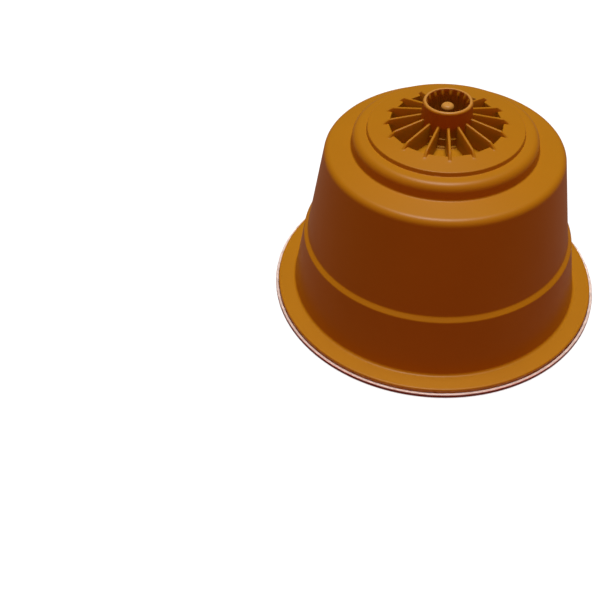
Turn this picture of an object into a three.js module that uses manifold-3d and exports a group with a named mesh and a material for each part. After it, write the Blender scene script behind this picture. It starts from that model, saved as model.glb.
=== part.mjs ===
// Coffee pod for a capsule machine, standing upside down on its foil lid.
// Millimetres, +Z up, origin at the centre of the lid's underside, one fin pointing along -Y.

import * as THREE from 'three';
import { mergeVertices } from 'three/addons/utils/BufferGeometryUtils.js';
import Module from 'manifold-3d';

// Foil lid
const lidDiameter = 54;
const lidThickness = 0.3;

// Flange that the lid is sealed to
const lidOverhang = 0.55;
const flangeWidth = 2.85;
const flangeThickness = 0.95;
const flangeEdgeFillet = 0.25;
const flangeFootFillet = 0.8;

// Lower band, the widest part of the cup
const bandHeight = 9.95;
const bandDraft = 11;
const bandTopFillet = 0.3;

// Ledge between the band and the main wall
const ledgeWidth = 0.65;
const ledgeRise = 0.54;
const wallFootFillet = 0.4;

// Main wall and the shoulder above it
const wallHeight = 15.51;
const wallDraft = 11.2;
const shoulderFillet = 1.35;
const shoulderWidth = 3.96;
const shoulderSlope = 4;

// Crown: a riser, a ring ledge, a small step and the flat ring round the pocket
const riserFootFillet = 0.25;
const riserRun = 0.87;
const riserHeight = 2.31;
const riserTopFillet = 1.13;
const ringWidth = 1.46;
const ringRise = 0.08;
const stepRun = 0.3;
const stepHeight = 0.62;
const stepTopFillet = 0.2;
const crownWidth = 3.15;
const crownRise = 0.5;

// Pocket with the fins
const finCount = 16;
const finThickness = 0.45;
const finReach = 1;
const finRise = 0.7;
const finSlope = 11.3;
const pocketDepth = 1.6;
const pocketDraft = 6;

// Stepped foot that the nozzle stands on
const footDiameter = 8.8;
const footHeight = 0.25;
const collarDiameter = 8.1;
const collarHeight = 1.1;

// Outlet nozzle with ribs in its bore and a pin in the middle
const nozzleDiameter = 7.2;
const nozzleDraft = 3;
const nozzleWall = 0.48;
const nozzleRimFillet = 0.22;
const nozzleHeight = 3.85;
const boreDepth = 4.9;
const ribWidth = 0.4;
const ribHeight = 0.22;
const ribTopDrop = 0.25;
const pinDiameter = 1.9;
const pinHeight = 4.1;
const pinTopFillet = 0.5;

// Facets: turns on round forms are split so that each bay between fins has whole facets
const turnFacets = finCount * 5;
const nozzleFacets = finCount * 3;
const filletSteps = 3;

const colours = {
  polypropylene: 0x8a5218,
  foil: 0x6b3206,
};

const radians = THREE.MathUtils.degToRad;

// Shape of the part in section: radii and heights that several sub-parts share
const flangeRadius = lidDiameter / 2 - lidOverhang;
const flangeTop = lidThickness + flangeThickness;
const bandFootRadius = flangeRadius - flangeWidth;
const bandTop = flangeTop + bandHeight;
const bandTopRadius = bandFootRadius - bandHeight * Math.tan(radians(bandDraft));
const wallFoot = bandTop + ledgeRise;
const wallFootRadius = bandTopRadius - ledgeWidth;
const wallTop = wallFoot + wallHeight;
const wallTopRadius = wallFootRadius - wallHeight * Math.tan(radians(wallDraft));
const riserFoot = wallTop + shoulderWidth * Math.tan(radians(shoulderSlope));
const riserFootRadius = wallTopRadius - shoulderWidth;
const riserTop = riserFoot + riserHeight;
const riserTopRadius = riserFootRadius - riserRun;
const stepFoot = riserTop + ringRise;
const stepFootRadius = riserTopRadius - ringWidth;
const stepTop = stepFoot + stepHeight;
const stepTopRadius = stepFootRadius - stepRun;
const pocketEdge = stepTop + crownRise;
const pocketRadius = stepTopRadius - crownWidth;
const pocketFloor = pocketEdge - pocketDepth;
const nozzleRadius = nozzleDiameter / 2;
const nozzleRim = pocketEdge + nozzleHeight;
const boreRadius = nozzleRadius - nozzleWall;
const boreFloor = nozzleRim - boreDepth;

// How far joined pieces run into each other, so that they become one body
const embed = 0.3;

const wasm = await Module();
wasm.setup();

// Closed mesh as a solid that can be joined and cut
function solid(geometry) {
  const bare = geometry.clone();
  bare.deleteAttribute('normal');
  bare.deleteAttribute('uv');
  const merged = mergeVertices(bare, 1e-4);
  return new wasm.Manifold(new wasm.Mesh({
    numProp: 3,
    vertProperties: new Float32Array(merged.attributes.position.array),
    triVerts: new Uint32Array(merged.index.array),
  }));
}

// Solid back as a geometry with flat facets
function geometryOf(body) {
  const mesh = body.getMesh();
  const geometry = new THREE.BufferGeometry();
  geometry.setAttribute('position', new THREE.BufferAttribute(mesh.vertProperties, 3));
  geometry.setIndex(new THREE.BufferAttribute(mesh.triVerts, 1));
  geometry.computeVertexNormals();
  return geometry;
}

// Outline through corners of radius and height, each rounded by an arc where it has a fillet
function roundedOutline(corners) {
  const outline = [];
  corners.forEach(([r, z, fillet = 0], index) => {
    const corner = new THREE.Vector2(r, z);
    if (fillet === 0) {
      outline.push(corner);
      return;
    }
    const back = new THREE.Vector2(...corners[index - 1].slice(0, 2)).sub(corner).normalize();
    const onward = new THREE.Vector2(...corners[index + 1].slice(0, 2)).sub(corner).normalize();
    const half = Math.acos(THREE.MathUtils.clamp(back.dot(onward), -1, 1)) / 2;
    const middle = back.clone().add(onward).normalize();
    const centre = corner.clone().addScaledVector(middle, fillet / Math.sin(half));
    const first = corner.clone().addScaledVector(back, fillet / Math.tan(half)).sub(centre);
    const last = corner.clone().addScaledVector(onward, fillet / Math.tan(half)).sub(centre);
    const turn = Math.atan2(first.cross(last), first.dot(last));
    for (let step = 0; step <= filletSteps; step += 1) {
      const spoke = first.clone().rotateAround(new THREE.Vector2(), turn * step / filletSteps);
      outline.push(spoke.add(centre));
    }
  });
  return outline;
}

// Outline turned round the pod's upright axis
function turned(outline, facets) {
  return new THREE.LatheGeometry(outline, facets).rotateX(Math.PI / 2);
}

// Cup's outside without its pocket, from the sealing face up to the ring round the pocket
function cupBlank() {
  return solid(turned(roundedOutline([
    [0, lidThickness],
    [flangeRadius, lidThickness],
    [flangeRadius, flangeTop, flangeEdgeFillet],
    [bandFootRadius, flangeTop, flangeFootFillet],
    [bandTopRadius, bandTop, bandTopFillet],
    [wallFootRadius, wallFoot, wallFootFillet],
    [wallTopRadius, wallTop, shoulderFillet],
    [riserFootRadius, riserFoot, riserFootFillet],
    [riserTopRadius, riserTop, riserTopFillet],
    [stepFootRadius, stepFoot],
    [stepTopRadius, stepTop, stepTopFillet],
    [pocketRadius, pocketEdge],
    [0, pocketEdge],
  ]), turnFacets));
}

// Pocket with a flat outer side in each bay, its corners where the fins stand
function pocketCut() {
  const sideFlat = Math.cos(Math.PI / finCount);
  const mouth = (pocketRadius + embed * Math.tan(radians(pocketDraft))) / sideFlat;
  const floor = (pocketRadius - pocketDepth * Math.tan(radians(pocketDraft))) / sideFlat;
  const cut = new THREE.CylinderGeometry(mouth, floor, pocketDepth + embed, finCount);
  cut.rotateX(Math.PI / 2);
  cut.translate(0, 0, pocketFloor + (pocketDepth + embed) / 2);
  return solid(cut);
}

// Nozzle on its stepped foot, open at the rim, with the pin standing on the bore's floor
function nozzle() {
  const footTop = pocketFloor + footHeight;
  const collarTop = footTop + collarHeight;
  const wallRadius = nozzleRadius + (nozzleRim - collarTop) * Math.tan(radians(nozzleDraft));
  const boreFloorRadius = boreRadius - boreDepth * Math.tan(radians(nozzleDraft));
  const pinRadius = pinDiameter / 2;
  const pinTop = boreFloor + pinHeight;
  return solid(turned(roundedOutline([
    [0, pocketFloor - embed],
    [footDiameter / 2, pocketFloor - embed],
    [footDiameter / 2, footTop],
    [collarDiameter / 2, footTop],
    [collarDiameter / 2, collarTop],
    [wallRadius, collarTop],
    [nozzleRadius, nozzleRim, nozzleRimFillet],
    [boreRadius, nozzleRim, nozzleRimFillet],
    [boreFloorRadius, boreFloor],
    [pinRadius, boreFloor],
    [pinRadius, pinTop, pinTopFillet],
    [0, pinTop],
  ]), nozzleFacets));
}

// Thin upright blade in the pocket, sloping down from the nozzle and running out to a point on
// the ring outside the pocket
function fin() {
  const root = nozzleRadius - nozzleWall / 2;
  const tip = pocketRadius + finReach;
  const top = pocketEdge + finRise;
  const side = new THREE.Shape([
    new THREE.Vector2(root, pocketFloor - embed),
    new THREE.Vector2(tip, pocketFloor - embed),
    new THREE.Vector2(tip, pocketEdge - finReach * crownRise / crownWidth),
    new THREE.Vector2(pocketRadius, top),
    new THREE.Vector2(root, top + (pocketRadius - root) * Math.tan(radians(finSlope))),
  ]);
  const blade = new THREE.ExtrudeGeometry(side, { depth: finThickness, bevelEnabled: false });
  blade.translate(0, 0, -finThickness / 2);
  blade.rotateX(Math.PI / 2);
  return solid(blade);
}

// Upright rib on the wall of the bore, stopping short of the rim
function rib() {
  const height = boreDepth - ribTopDrop + embed;
  const depth = ribHeight + nozzleWall / 2;
  const bar = new THREE.BoxGeometry(depth, ribWidth, height);
  bar.translate(boreRadius - ribHeight + depth / 2, 0, boreFloor - embed + height / 2);
  return solid(bar);
}

// Copies of a solid at equal steps round the axis, starting at the given angle in degrees
function aroundAxis(body, count, start) {
  return Array.from({ length: count }, (_, index) => body.rotate([0, 0, start + index * 360 / count]));
}

function cup() {
  const finStep = 360 / finCount;
  let body = cupBlank().subtract(pocketCut()).add(nozzle());
  aroundAxis(fin(), finCount, -90).forEach((blade) => {
    body = body.add(blade);
  });
  aroundAxis(rib(), finCount, -90 + finStep / 2).forEach((bar) => {
    body = body.add(bar);
  });
  return geometryOf(body);
}

function lid() {
  const disc = new THREE.CylinderGeometry(lidDiameter / 2, lidDiameter / 2, lidThickness, turnFacets);
  return disc.rotateX(Math.PI / 2).translate(0, 0, lidThickness / 2);
}

function named(name, geometry, material) {
  const mesh = new THREE.Mesh(geometry, material);
  mesh.name = name;
  return mesh;
}

const polypropylene = new THREE.MeshStandardMaterial({
  color: colours.polypropylene,
  roughness: 0.45,
  metalness: 0,
});
const printedFoil = new THREE.MeshStandardMaterial({
  color: colours.foil,
  roughness: 0.35,
  metalness: 0.5,
});

const pod = new THREE.Group();
pod.add(named('cup', cup(), polypropylene));
pod.add(named('foil_lid', lid(), printedFoil));

export default pod;
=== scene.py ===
"""Coffee pod standing upside down on its foil lid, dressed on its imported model."""
from math import acos, asin, atan2, cos, pi, radians, sin, tan

import bpy
from mathutils import Matrix, Vector


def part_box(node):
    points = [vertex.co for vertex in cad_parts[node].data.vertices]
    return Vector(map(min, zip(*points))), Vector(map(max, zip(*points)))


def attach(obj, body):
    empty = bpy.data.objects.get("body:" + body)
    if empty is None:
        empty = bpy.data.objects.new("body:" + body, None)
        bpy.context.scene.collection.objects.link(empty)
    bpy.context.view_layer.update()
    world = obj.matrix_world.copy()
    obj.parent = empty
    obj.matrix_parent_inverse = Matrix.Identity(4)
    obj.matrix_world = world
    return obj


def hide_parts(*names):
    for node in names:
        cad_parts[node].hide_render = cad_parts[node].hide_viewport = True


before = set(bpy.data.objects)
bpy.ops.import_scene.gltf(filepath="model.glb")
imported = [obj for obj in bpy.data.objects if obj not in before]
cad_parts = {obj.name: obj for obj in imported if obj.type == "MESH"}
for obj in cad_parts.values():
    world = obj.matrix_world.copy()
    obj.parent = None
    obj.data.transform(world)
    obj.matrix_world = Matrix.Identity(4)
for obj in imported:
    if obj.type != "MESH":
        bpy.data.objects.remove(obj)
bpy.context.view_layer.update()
MM = 0.001


# Cup
# One injection moulding in brown polypropylene: flange, stepped body, crown, finned pocket and
# the fluted outlet nozzle with its pin. All rims are rounded by the mould's own small radii, and
# the mould's spark-eroded steel leaves the surface satin.

cup_low, cup_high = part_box("cup")
flange_radius = cup_high.x / MM
flange_underside = cup_low.z / MM
rim_height = cup_high.z / MM

flange_width = 2.85
flange_thickness = 0.95
flange_underside_fillet = 0.1
flange_edge_fillet = 0.25
flange_foot_fillet = 0.45
band_height = 9.75
band_draft = radians(11)
band_top_fillet = 0.3
ledge_width = 0.65
ledge_rise = 0.54
wall_foot_fillet = 0.4
wall_height = 15.4
wall_draft = radians(11.2)
wall_top_fillet = 1.1
shoulder_width = 3.96
shoulder_slope = radians(8.4)
riser_foot_fillet = 0.25
riser_run = 0.35
riser_height = 2.31
riser_top_fillet = 1.25
ring_width = 1.98
ring_rise = 0.08
step_foot_fillet = 0.06
step_run = 0.14
step_height = 0.62
step_top_fillet = 0.16
crown_width = 3.31
crown_rise = 0.5

fin_count = 16
fin_half_width = 0.2
fin_draft = 0.06
fin_reach = 1.0
fin_rise = 0.7
fin_fullness = 0.35
fin_rounding_run = 0.5
fin_slope = radians(11.3)
pocket_depth = 1.6
pocket_draft = radians(6)
pocket_edge_fillet = 0.12
pocket_floor_fillet = 0.3
flats_past_tip = 0.5
foot_radius = 4.4
foot_height = 0.25
foot_fillet = 0.1
collar_radius = 4.05
collar_height = 1.1
collar_fillet = 0.08
step_draft = 0.06

nozzle_radius = 3.6
nozzle_draft = radians(3)
nozzle_wall = 0.48
nozzle_outer_fillet = 0.34
nozzle_inner_fillet = 0.1
bore_depth = 4.9
bore_floor_fillet = 0.25
rib_half_angle = radians(6)
rib_height = 0.26
rib_top_drop = 0.25
rib_top_run = 0.3
pin_radius = 0.95
pin_height = 4.25
pin_foot_fillet = 0.2
pin_top_fillet = 0.5

flange_top = flange_underside + flange_thickness
band_foot_radius = flange_radius - flange_width
band_top = flange_top + band_height
band_top_radius = band_foot_radius - band_height * tan(band_draft)
wall_foot = band_top + ledge_rise
wall_foot_radius = band_top_radius - ledge_width
wall_top = wall_foot + wall_height
wall_top_radius = wall_foot_radius - wall_height * tan(wall_draft)
riser_foot = wall_top + shoulder_width * tan(shoulder_slope)
riser_foot_radius = wall_top_radius - shoulder_width
riser_top = riser_foot + riser_height
riser_top_radius = riser_foot_radius - riser_run
step_foot = riser_top + ring_rise
step_foot_radius = riser_top_radius - ring_width
step_top = step_foot + step_height
step_top_radius = step_foot_radius - step_run
pocket_edge = step_top + crown_rise
pocket_radius = step_top_radius - crown_width
pocket_floor = pocket_edge - pocket_depth
pocket_floor_radius = pocket_radius - pocket_depth * tan(pocket_draft)
fin_tip = pocket_radius + fin_reach
flats_end = fin_tip + flats_past_tip
foot_top = pocket_floor + foot_height
collar_top = foot_top + collar_height
nozzle_foot_radius = nozzle_radius + (rim_height - collar_top) * tan(nozzle_draft)
bore_radius = nozzle_radius - nozzle_wall
bore_floor = rim_height - bore_depth
bore_floor_radius = bore_radius - bore_depth * tan(nozzle_draft)
pin_top = bore_floor + pin_height

# Rows of the mesh that no edge asks for: inward from the fins' tips, where the top edge of a fin
# bends, and up the nozzle's two walls, which the fins and the ribs grow out of
rows_inside_tip = (0, 0.12, 0.3, 0.5, 0.7)
nozzle_rows = 12
bore_rows = 16
tolerance = 1e-4


def crown_height(radius):
    """Height of the gently rising ring round the pocket."""
    return pocket_edge - (radius - pocket_radius) * crown_rise / crown_width


def rounded_section(corners, step_angle=radians(11), fewest_steps=3, long_straight=0.54,
                    support=0.18):
    """Outline through corners of radius and height, each rounded where it has a fillet.

    A point close to both ends of every long straight keeps the shading of flats and cones even."""
    section = []
    for index, (radius, height, fillet) in enumerate(corners):
        corner = Vector((radius, height))
        if fillet:
            back = (Vector(corners[index - 1][:2]) - corner).normalized()
            onward = (Vector(corners[index + 1][:2]) - corner).normalized()
            half = acos(max(-1, min(1, back.dot(onward)))) / 2
            centre = corner + (back + onward).normalized() * fillet / sin(half)
            first = corner + back * fillet / tan(half) - centre
            last = corner + onward * fillet / tan(half) - centre
            turn = atan2(first.x * last.y - first.y * last.x, first.dot(last))
            steps = max(fewest_steps, round(abs(turn) / step_angle))
            arc = [centre + Matrix.Rotation(turn * i / steps, 2) @ first for i in range(steps + 1)]
        else:
            arc = [corner]
        if section:
            straight = arc[0] - section[-1]
            if straight.length > long_straight:
                section.append(section[-1] + straight.normalized() * support)
                arc.insert(0, arc[0] - straight.normalized() * support)
        section.extend(arc)
    return section


def even_corners(start, end, count):
    """Plain corners at equal steps strictly between two points of the section."""
    return [(*Vector(start).lerp(Vector(end), i / count), 0) for i in range(1, count)]


crown_corners = [(radius, crown_height(radius), 0)
                 for radius in (flats_end, *(fin_tip - inward for inward in rows_inside_tip))]
nozzle_foot = (nozzle_foot_radius, collar_top)
nozzle_rim = (nozzle_radius, rim_height)
cup_section = rounded_section([
    (0, flange_underside, 0),
    (flange_radius, flange_underside, flange_underside_fillet),
    (flange_radius, flange_top, flange_edge_fillet),
    (band_foot_radius, flange_top, flange_foot_fillet),
    (band_top_radius, band_top, band_top_fillet),
    (wall_foot_radius, wall_foot, wall_foot_fillet),
    (wall_top_radius, wall_top, wall_top_fillet),
    (riser_foot_radius, riser_foot, riser_foot_fillet),
    (riser_top_radius, riser_top, riser_top_fillet),
    (step_foot_radius, step_foot, step_foot_fillet),
    (step_top_radius, step_top, step_top_fillet),
    *crown_corners,
    (pocket_radius, pocket_edge, pocket_edge_fillet),
    (pocket_floor_radius, pocket_floor, pocket_floor_fillet),
    (foot_radius, pocket_floor, foot_fillet),
    (foot_radius - step_draft, foot_top, foot_fillet),
    (collar_radius, foot_top, foot_fillet),
    (collar_radius - step_draft, collar_top, collar_fillet),
    (*nozzle_foot, collar_fillet),
    *even_corners(nozzle_foot, nozzle_rim, nozzle_rows),
    (*nozzle_rim, nozzle_outer_fillet),
    (bore_radius, rim_height, nozzle_inner_fillet),
    *even_corners((bore_radius, rim_height), (bore_floor_radius, bore_floor), bore_rows),
    (bore_floor_radius, bore_floor, bore_floor_fillet),
    (pin_radius, bore_floor, pin_foot_fillet),
    (pin_radius, pin_top, pin_top_fillet),
    (0, pin_top, 0),
])

# Columns of the mesh inside one bay. Those on the fin have an offset from its middle plane and a
# drop, which rounds its top edge; after the fin's foot they go in even steps across the bay
fin_top_drops = [(0, 0), (0.07, 0.003), (0.12, 0.02), (0.165, 0.06), (fin_half_width, 0.13)]
fin_foot_offset = fin_half_width + fin_draft
bay_steps = 12
bay = 2 * pi / fin_count


def column_angles(radius):
    """Angles of one bay's columns at a radius, from the fin's middle plane to the next one's."""
    reach = max(bore_radius, min(fin_tip, radius))
    offsets = [offset for offset, _ in fin_top_drops] + [fin_foot_offset]
    side = [asin(offset / reach) for offset in offsets]
    across = bay - 2 * side[-1]
    middle = [side[-1] + across * i / bay_steps for i in range(1, bay_steps)]
    return side + middle + [bay - angle for angle in reversed(side[1:])]


def fin_top(radius):
    """Height of the fin's top edge: a straight slope, then a drop to a point at the tip."""
    if radius <= pocket_radius:
        return pocket_edge + fin_rise + (pocket_radius - radius) * tan(fin_slope)
    along = min(1, (radius - pocket_radius) / fin_reach)
    return crown_height(radius) + fin_rise * (1 - along) * (1 + fin_fullness * along)


def flat_sided(radius, angle):
    """The pocket's outline has a flat side in each bay, so its radius grows towards the fins."""
    outside = max(0, min(1, (flats_end - radius) / (flats_end - pocket_radius)))
    inside = max(0, min(1, (radius - foot_radius) / (pocket_floor_radius - foot_radius)))
    from_middle = (angle % bay) - bay / 2
    return radius * (1 + (1 / cos(from_middle) - 1) * min(outside, inside))


def rib_depth(radius, angle, height):
    """How far the rounded ribs stand into the bore, halfway between the fins."""
    from_rib = abs((angle % bay) - bay / 2)
    if from_rib >= rib_half_angle or radius < bore_floor_radius - bore_floor_fillet:
        return 0
    fade = max(0, min(1, (rim_height - rib_top_drop - height) / rib_top_run))
    return rib_height * fade * cos(from_rib / rib_half_angle * pi / 2)


def cup_point(radius, height, angle, drop, in_bore):
    """One vertex of the cup. A column with a drop belongs to a fin and rises to its top edge."""
    if in_bore:
        radius -= rib_depth(radius, angle, height)
    else:
        radius = flat_sided(radius, angle)
        if drop is not None and radius < fin_tip + tolerance and height > riser_foot:
            rounding = min(1, (fin_tip - radius) / fin_rounding_run)
            height = max(height, fin_top(radius) - drop * rounding)
    return Vector((radius * sin(angle), -radius * cos(angle), height)) * MM


def turned_mesh(name, section, columns_at, point_at, sharp_from=radians(38)):
    """Closed mesh of rings, one for each point of the section, with single points on the axis.

    Each column has an angle and a mark, which the point's function may use or not."""
    vertices, rings = [], []
    for row, (radius, height) in enumerate(section):
        if radius < tolerance:
            rings.append([len(vertices)])
            vertices.append(Vector((0, 0, height)) * MM)
            continue
        ring = []
        for angle, mark in columns_at(radius):
            ring.append(len(vertices))
            vertices.append(point_at(row, radius, height, angle, mark))
        rings.append(ring)
    faces = []
    for lower, upper in zip(rings, rings[1:]):
        count = max(len(lower), len(upper))
        for i in range(count):
            j = (i + 1) % count
            corners = [lower[i % len(lower)], lower[j % len(lower)],
                       upper[j % len(upper)], upper[i % len(upper)]]
            faces.append(list(dict.fromkeys(corners)))
    mesh = bpy.data.meshes.new(name)
    mesh.from_pydata(vertices, [], faces)
    mesh.validate()
    mesh.shade_smooth()
    mesh.set_sharp_from_angle(angle=sharp_from)
    piece = bpy.data.objects.new(name, mesh)
    bpy.context.collection.objects.link(piece)
    return piece


fin_marks = [drop for _, drop in fin_top_drops]
bay_marks = fin_marks + [None] * (bay_steps + 1) + fin_marks[:0:-1]
bore_start = max(row for row, (_, height) in enumerate(cup_section)
                 if height > rim_height - tolerance)


def cup_columns(radius):
    """All columns of the cup at a radius, with the drop below the fin's top or None."""
    angles = column_angles(radius)
    return [(turn * bay + angle, mark)
            for turn in range(fin_count) for angle, mark in zip(angles, bay_marks)]


cup = turned_mesh(
    "moulded_cup", cup_section, cup_columns,
    lambda row, radius, height, angle, drop: cup_point(radius, height, angle, drop,
                                                       row > bore_start))


def linear(hex_colour):
    """sRGB hex colour as linear RGBA."""
    channels = [int(hex_colour[i:i + 2], 16) / 255 for i in (1, 3, 5)]
    return [c / 12.92 if c <= 0.04045 else ((c + 0.055) / 1.055) ** 2.4 for c in channels] + [1]


def add_node(material, kind, links=None, **settings):
    """Adds a node with its settings, sets or links its inputs, and gives the node back."""
    node = material.node_tree.nodes.new(kind)
    for name, value in settings.items():
        setattr(node, name, value)
    for name, value in (links or {}).items():
        if isinstance(value, bpy.types.NodeSocket):
            material.node_tree.links.new(value, node.inputs[name])
        else:
            node.inputs[name].default_value = value
    return node


def reckon(material, operation, *values):
    """One step of arithmetic on numbers and sockets."""
    return add_node(material, "ShaderNodeMath", dict(enumerate(values)),
                    operation=operation).outputs["Value"]


def radius_and_height(material, place):
    """Distance from the pod's axis and height, as sockets."""
    axes = add_node(material, "ShaderNodeSeparateXYZ", {"Vector": place}).outputs
    squares = [reckon(material, "POWER", axes[name], 2) for name in ("X", "Y")]
    return reckon(material, "SQRT", reckon(material, "ADD", *squares)), axes["Z"]


def new_material(name):
    """Empty node material with its output node."""
    material = bpy.data.materials.new(name)
    material.use_nodes = True
    material.node_tree.nodes.clear()
    return material, add_node(material, "ShaderNodeOutputMaterial")


def polypropylene_moulded():
    """Caramel brown polypropylene: satin, with faint flow clouds and the mould's fine grain, and
    a painted highlight that makes the pin and the nozzle's thin rim paler. The grain is drawn
    coarser than the real one, so that it shows."""
    body_colour = "#B37710"
    cloud_colour = "#AB6F0B"
    cloud_size = 9 * MM
    smoothest = 0.34
    roughest = 0.4
    polypropylene_refraction = 1.49
    reflection_level = 0.18
    # Painted highlight on the pin and on the nozzle's rim
    painted_highlight_colour = "#DDA860"
    painted_highlight_share = 0.38
    painted_highlight_slope = 0.4
    painted_highlight_from = (rim_height - 1.55) * MM
    painted_highlight_fully = (rim_height - 1.35) * MM
    grain_size = 0.22 * MM
    grain_depth = 0.0015 * MM

    material, output = new_material("polypropylene moulded")
    place = add_node(material, "ShaderNodeTexCoord").outputs["Object"]
    clouds = add_node(material, "ShaderNodeTexNoise",
                      {"Vector": place, "Scale": 1 / cloud_size, "Detail": 3, "Roughness": 0.5})
    colour = add_node(material, "ShaderNodeMix",
                      {"Factor": clouds.outputs["Fac"]}, data_type="RGBA")
    colour.inputs["A"].default_value = linear(body_colour)
    colour.inputs["B"].default_value = linear(cloud_colour)
    satin = add_node(material, "ShaderNodeMapRange",
                     {"Value": clouds.outputs["Fac"], "To Min": smoothest, "To Max": roughest})
    radius, height = radius_and_height(material, place)
    # Painted highlight: paler colour on everything above a cone round the axis, that is the pin's
    # top and the nozzle's rim
    above_cone = reckon(material, "MULTIPLY_ADD", radius, -painted_highlight_slope, height)
    painted_highlight_mask = add_node(material, "ShaderNodeMapRange",
                        {"Value": above_cone, "From Min": painted_highlight_from, "From Max": painted_highlight_fully,
                         "To Max": painted_highlight_share}).outputs["Result"]
    tone_with_painted_highlight = add_node(material, "ShaderNodeMix", {"Factor": painted_highlight_mask}, data_type="RGBA")
    material.node_tree.links.new(colour.outputs["Result"], tone_with_painted_highlight.inputs["A"])
    tone_with_painted_highlight.inputs["B"].default_value = linear(painted_highlight_colour)
    grain = add_node(material, "ShaderNodeTexNoise",
                     {"Vector": place, "Scale": 1 / grain_size, "Detail": 2})
    bump = add_node(material, "ShaderNodeBump",
                    {"Height": grain.outputs["Fac"], "Distance": grain_depth, "Strength": 1})
    shader = add_node(material, "ShaderNodeBsdfPrincipled",
                      {"Base Color": tone_with_painted_highlight.outputs["Result"], "Roughness": satin.outputs["Result"],
                       "IOR": polypropylene_refraction, "Specular IOR Level": reflection_level,
                       "Normal": bump.outputs["Normal"]})
    material.node_tree.links.new(shader.outputs["BSDF"], output.inputs["Surface"])
    return material


cup.data.materials.append(polypropylene_moulded())
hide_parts("cup")
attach(cup, "root")


# Foil lid
# Aluminium laminate, printed brown outside and bare inside, punched to a disc and heat-sealed to
# the flange. Its free edge is thin and stands a little way up round the flange.

_, lid_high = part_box("foil_lid")
lid_radius = lid_high.x / MM
lid_thickness = lid_high.z / MM
lid_edge_fillet = 0.12
lid_flare = 0.02
lip_width = 0.43
lip_height = 0.75
lip_bevel = 0.08
lip_outer_height = 0.62
lip_fillet = 0.05
lip_inner_radius = lid_radius - lip_width
still_height = 0.1
waver_down = 0.05
waver_inward = 0.03
wavers = ((0.4, 41, 0), (0.3, 67, 1.3), (0.3, 113, 0.4))
seal_radius = 24.4
seal_half_width = 0.3
seal_height = 0.05
lid_facets = 720


def lid_point(row, radius, height, angle, mark):
    """One vertex of the lid; its free edge wavers a little, as crimped foil does.

    Each waver has its share, its number of waves round the lid and its phase."""
    if radius >= lip_inner_radius and height > lid_thickness + still_height:
        waver = sum(share * sin(waves * angle + phase) for share, waves, phase in wavers)
        height -= waver_down * (1 + waver)
        radius -= waver_inward * (1 + waver)
    return Vector((radius * sin(angle), -radius * cos(angle), height)) * MM


lid_section = rounded_section([
    (0, 0, 0),
    (seal_radius - seal_half_width, 0, 0),
    (seal_radius, seal_height, 0),
    (seal_radius + seal_half_width, 0, 0),
    (lid_radius - lid_flare, 0, lid_edge_fillet),
    (lid_radius, lip_outer_height, lip_fillet),
    (lid_radius - lip_bevel, lip_height, lip_fillet),
    (lip_inner_radius, lip_height - lip_bevel, lip_fillet),
    (lip_inner_radius, lid_thickness, 0),
    (0, lid_thickness, 0),
])
lid = turned_mesh(
    "sealed_foil_lid", lid_section,
    lambda radius: [(2 * pi * i / lid_facets, None) for i in range(lid_facets)], lid_point)


def foil_printed():
    """Lacquered aluminium foil: a golden rosette and ring with silver dots on a brown ground, with
    a soft metallic shine and slight wrinkles."""
    ground_colour = "#8A3408"
    golden_colour = "#A5650C"
    silver_colour = "#C9CCC2"
    ring_radius = 25.1 * MM
    ring_half_width = 0.3 * MM
    rosette_radius = 11 * MM
    petal_count = 12
    petal_depth = 2.6 * MM
    eye_radius = 4.2 * MM
    dot_circle_radius = 19 * MM
    dot_count = 24
    dot_radius = 0.9 * MM
    wrinkle_size = 2.5 * MM
    wrinkle_depth = 0.02 * MM
    metal_showing_through = 0.3
    lacquer_roughness = 0.4

    material, output = new_material("aluminium foil printed")
    place = add_node(material, "ShaderNodeTexCoord").outputs["Object"]
    axes = add_node(material, "ShaderNodeSeparateXYZ", {"Vector": place}).outputs
    angle = reckon(material, "ARCTAN2", axes["X"], axes["Y"])
    radius, _ = radius_and_height(material, place)

    ring = reckon(material, "COMPARE", radius, ring_radius, ring_half_width)
    petal = reckon(material, "ABSOLUTE", reckon(material, "COSINE", reckon(
        material, "MULTIPLY", angle, petal_count / 2)))
    rosette_edge = reckon(material, "MULTIPLY_ADD", petal, petal_depth, rosette_radius)
    rosette = reckon(material, "MULTIPLY", reckon(material, "LESS_THAN", radius, rosette_edge),
                     reckon(material, "GREATER_THAN", radius, eye_radius))
    golden = reckon(material, "MAXIMUM", ring, rosette)
    beside_dot = reckon(material, "MULTIPLY", radius,
                        reckon(material, "PINGPONG", angle, pi / dot_count))
    off_circle = reckon(material, "SUBTRACT", radius, dot_circle_radius)
    from_dot = reckon(material, "ADD", reckon(material, "POWER", beside_dot, 2),
                      reckon(material, "POWER", off_circle, 2))
    dots = reckon(material, "LESS_THAN", from_dot, dot_radius ** 2)

    print_colour = add_node(material, "ShaderNodeMix", {"Factor": golden}, data_type="RGBA")
    print_colour.inputs["A"].default_value = linear(ground_colour)
    print_colour.inputs["B"].default_value = linear(golden_colour)
    colour = add_node(material, "ShaderNodeMix", {"Factor": dots}, data_type="RGBA")
    material.node_tree.links.new(print_colour.outputs["Result"], colour.inputs["A"])
    colour.inputs["B"].default_value = linear(silver_colour)
    wrinkles = add_node(material, "ShaderNodeTexNoise",
                        {"Vector": place, "Scale": 1 / wrinkle_size, "Detail": 2})
    bump = add_node(material, "ShaderNodeBump", {"Height": wrinkles.outputs["Fac"],
                                                 "Distance": wrinkle_depth, "Strength": 1})
    shader = add_node(material, "ShaderNodeBsdfPrincipled",
                      {"Base Color": colour.outputs["Result"], "Metallic": metal_showing_through,
                       "Roughness": lacquer_roughness, "Normal": bump.outputs["Normal"]})
    material.node_tree.links.new(shader.outputs["BSDF"], output.inputs["Surface"])
    return material


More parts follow.
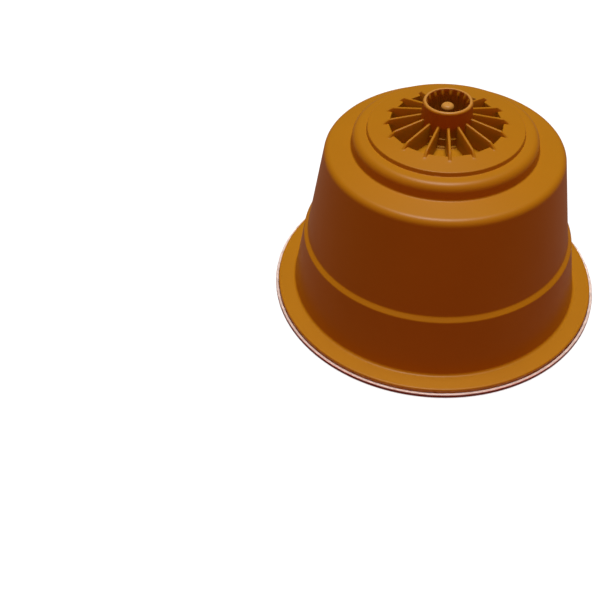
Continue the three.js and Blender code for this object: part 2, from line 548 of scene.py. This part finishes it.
def foil_bare():
    """Bare aluminium of the foil's inner side and of its punched edge, a bright thin line."""
    metal_colour = "#F2DCD0"
    metal_share = 0.6
    metal_roughness = 0.5

    material, output = new_material("aluminium foil bare")
    shader = add_node(material, "ShaderNodeBsdfPrincipled",
                      {"Base Color": linear(metal_colour), "Metallic": metal_share,
                       "Roughness": metal_roughness})
    material.node_tree.links.new(shader.outputs["BSDF"], output.inputs["Surface"])
    return material


lid.data.materials.append(foil_printed())
lid.data.materials.append(foil_bare())
for face in lid.data.polygons:
    if face.center.z > (lip_outer_height - lip_fillet) * MM:
        face.material_index = 1
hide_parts("foil_lid")
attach(lid, "root")


# Floor
# White lacquered table top, wide enough to fill the picture, which the pod stands on and casts
# its soft shadow on. It lies a hair below the lid, so that the two don't share a plane.

floor_width = 3
floor_drop = 0.03 * MM
white_share_in_reflections = 0.1

bpy.ops.mesh.primitive_plane_add(size=floor_width, location=(0, 0, -floor_drop))
floor = bpy.context.object
floor.name = "floor"


def white_seen(surroundings):
    """How much white a ray meets: all for the camera, a share in reflections, none otherwise."""
    path = add_node(surroundings, "ShaderNodeLightPath").outputs
    mirrored = reckon(surroundings, "MAXIMUM", path["Is Glossy Ray"], path["Is Transmission Ray"])
    dimmed = reckon(surroundings, "MULTIPLY", mirrored, white_share_in_reflections)
    return reckon(surroundings, "MAXIMUM", path["Is Camera Ray"], dimmed)


def table_white():
    """White lacquer to the camera and a share of it in reflections; all other light meets a dark
    red-brown matt under it, painted shade that keeps the pod's walls dark and red-brown."""
    lacquer_colour = "#B0B0B0"
    glow_colour = "#FFFFFF"
    glow_strength = 0.7
    bounce_shade_colour = "#80543C"

    material, output = new_material("table top white")
    lacquer = add_node(material, "ShaderNodeBsdfDiffuse", {"Color": linear(lacquer_colour)})
    glow = add_node(material, "ShaderNodeEmission",
                    {"Color": linear(glow_colour), "Strength": glow_strength})
    white = add_node(material, "ShaderNodeAddShader",
                     {0: lacquer.outputs["BSDF"], 1: glow.outputs["Emission"]})
    # Painted shade: the dark red-brown that only bounced light meets, so that the pod's walls stay
    # dark and red
    bounce_shade = add_node(material, "ShaderNodeBsdfDiffuse", {"Color": linear(bounce_shade_colour)})
    mix = add_node(material, "ShaderNodeMixShader",
                   {0: white_seen(material), 1: bounce_shade.outputs["BSDF"],
                    2: white.outputs["Shader"]})
    material.node_tree.links.new(mix.outputs["Shader"], output.inputs["Surface"])
    return material


floor.data.materials.append(table_white())


# Light
# A soft box high above the pod and slightly behind it, a weak red-brown fill from both sides,
# which stands for light thrown back by warm surroundings, and a dim warm room that the camera
# sees as a pale backdrop.

pod_middle = Vector((0, 0, 0.02))
overhead_colour = "#FFFFFF"
fill_colour = "#FF3408"
dim_colour = "#FF9A64"
dim_strength = 0.05
backdrop_colour = "#FFFFFF"
backdrop_strength = 0.72


def soft_box(name, place, size, power, colour):
    """Square lamp that looks at the middle of the pod."""
    lamp = bpy.data.lights.new(name, "AREA")
    lamp.shape = "SQUARE"
    lamp.size = size
    lamp.energy = power
    lamp.color = linear(colour)[:3]
    holder = bpy.data.objects.new(name, lamp)
    holder.location = place
    holder.rotation_euler = (pod_middle - holder.location).to_track_quat("-Z", "Y").to_euler()
    bpy.context.collection.objects.link(holder)


soft_box("overhead", place=(0, 0.065, 0.8), size=0.28, power=6.1, colour=overhead_colour)
soft_box("right fill", place=(0.5, -0.4, 0.12), size=0.4, power=0.72, colour=fill_colour)
soft_box("left fill", place=(-0.5, -0.3, 0.12), size=0.4, power=0.58, colour=fill_colour)

room = bpy.data.worlds.new("room")
room.use_nodes = True
room.node_tree.nodes.clear()
dim_light = add_node(room, "ShaderNodeBackground",
                     {"Color": linear(dim_colour), "Strength": dim_strength}).outputs["Background"]
backdrop = add_node(room, "ShaderNodeBackground", {
    "Color": linear(backdrop_colour), "Strength": backdrop_strength}).outputs["Background"]
room_light = add_node(room, "ShaderNodeMixShader",
                      {0: white_seen(room), 1: dim_light, 2: backdrop}).outputs["Shader"]
add_node(room, "ShaderNodeOutputWorld", {"Surface": room_light})
bpy.context.scene.world = room
bpy.context.scene.view_settings.view_transform = "Standard"


# Camera
# Held about 145 mm from the pod, above its front, as the circles of its steps show. It is aimed to
# the left of the pod and rolled a little, as in the photograph.

camera_turn = radians(-6.72)
camera_reach = 0.105
camera_height = 0.0992
look_left = radians(5.94)
look_down = radians(45.29)
look_roll = radians(3.31)
lens = 48.99

camera = bpy.data.objects.new("camera", bpy.data.cameras.new("camera"))
camera.data.sensor_width = 36
camera.data.lens = lens
camera.data.clip_start = 0.005
place = Vector((camera_reach * sin(camera_turn), -camera_reach * cos(camera_turn), camera_height))
camera.matrix_world = (Matrix.Translation(place) @ Matrix.Rotation(look_left, 4, "Z")
                       @ Matrix.Rotation(pi / 2 - look_down, 4, "X")
                       @ Matrix.Rotation(-look_roll, 4, "Z"))
bpy.context.collection.objects.link(camera)
bpy.context.scene.camera = camera
